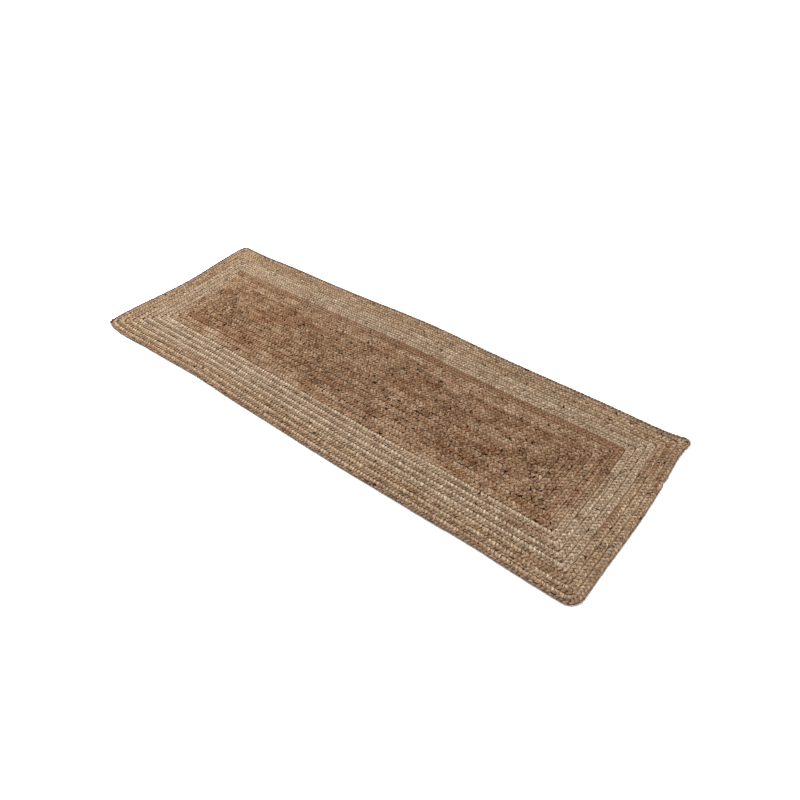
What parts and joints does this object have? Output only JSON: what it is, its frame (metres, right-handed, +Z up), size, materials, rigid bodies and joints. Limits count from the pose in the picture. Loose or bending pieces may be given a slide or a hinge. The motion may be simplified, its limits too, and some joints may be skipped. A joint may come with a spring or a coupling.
{
  "type": "runner rug",
  "caption": "Long flat braided runner rug: flat plaited rings laced edge to edge round a straight core braid, pale border around a brown field, mitred corners.",
  "frame": {"origin": "middle of the rug's underside, on the floor", "axes": "+X along the rug's length, +Y across it, +Z up from the floor"},
  "size_m": [1.8, 0.6, 0.009],
  "materials": {
    "edge_braid": "matt plaited yarn, tan brown with dark and rust flecks",
    "golden_braid": "matt plaited yarn, golden tan with orange flecks",
    "cream_braid": "matt plaited yarn, pale cream and greyish tan",
    "field_braid": "matt plaited yarn, mixed brown with rust and near-black flecks",
    "lacing_thread": "matt twisted thread, beige"
  },
  "bodies": {
    "root": {"core_braid": "field_braid", "ring_braid_01": "field_braid", "ring_braid_02": "field_braid", "ring_braid_03": "field_braid", "ring_braid_04": "field_braid", "ring_braid_05": "field_braid", "ring_braid_06": "field_braid", "ring_braid_07": "field_braid", "ring_braid_08": "cream_braid", "ring_braid_09": "cream_braid", "ring_braid_10": "cream_braid", "ring_braid_11": "cream_braid", "ring_braid_12": "golden_braid", "ring_braid_13": "golden_braid", "ring_braid_14": "edge_braid", "lacing_thread_01": "lacing_thread", "lacing_thread_02": "lacing_thread", "lacing_thread_03": "lacing_thread", "lacing_thread_04": "lacing_thread", "lacing_thread_05": "lacing_thread", "lacing_thread_06": "lacing_thread", "lacing_thread_07": "lacing_thread", "lacing_thread_08": "lacing_thread", "lacing_thread_09": "lacing_thread", "lacing_thread_10": "lacing_thread", "lacing_thread_11": "lacing_thread", "lacing_thread_12": "lacing_thread", "lacing_thread_13": "lacing_thread", "lacing_thread_14": "lacing_thread"}
  },
  "joints": []
}
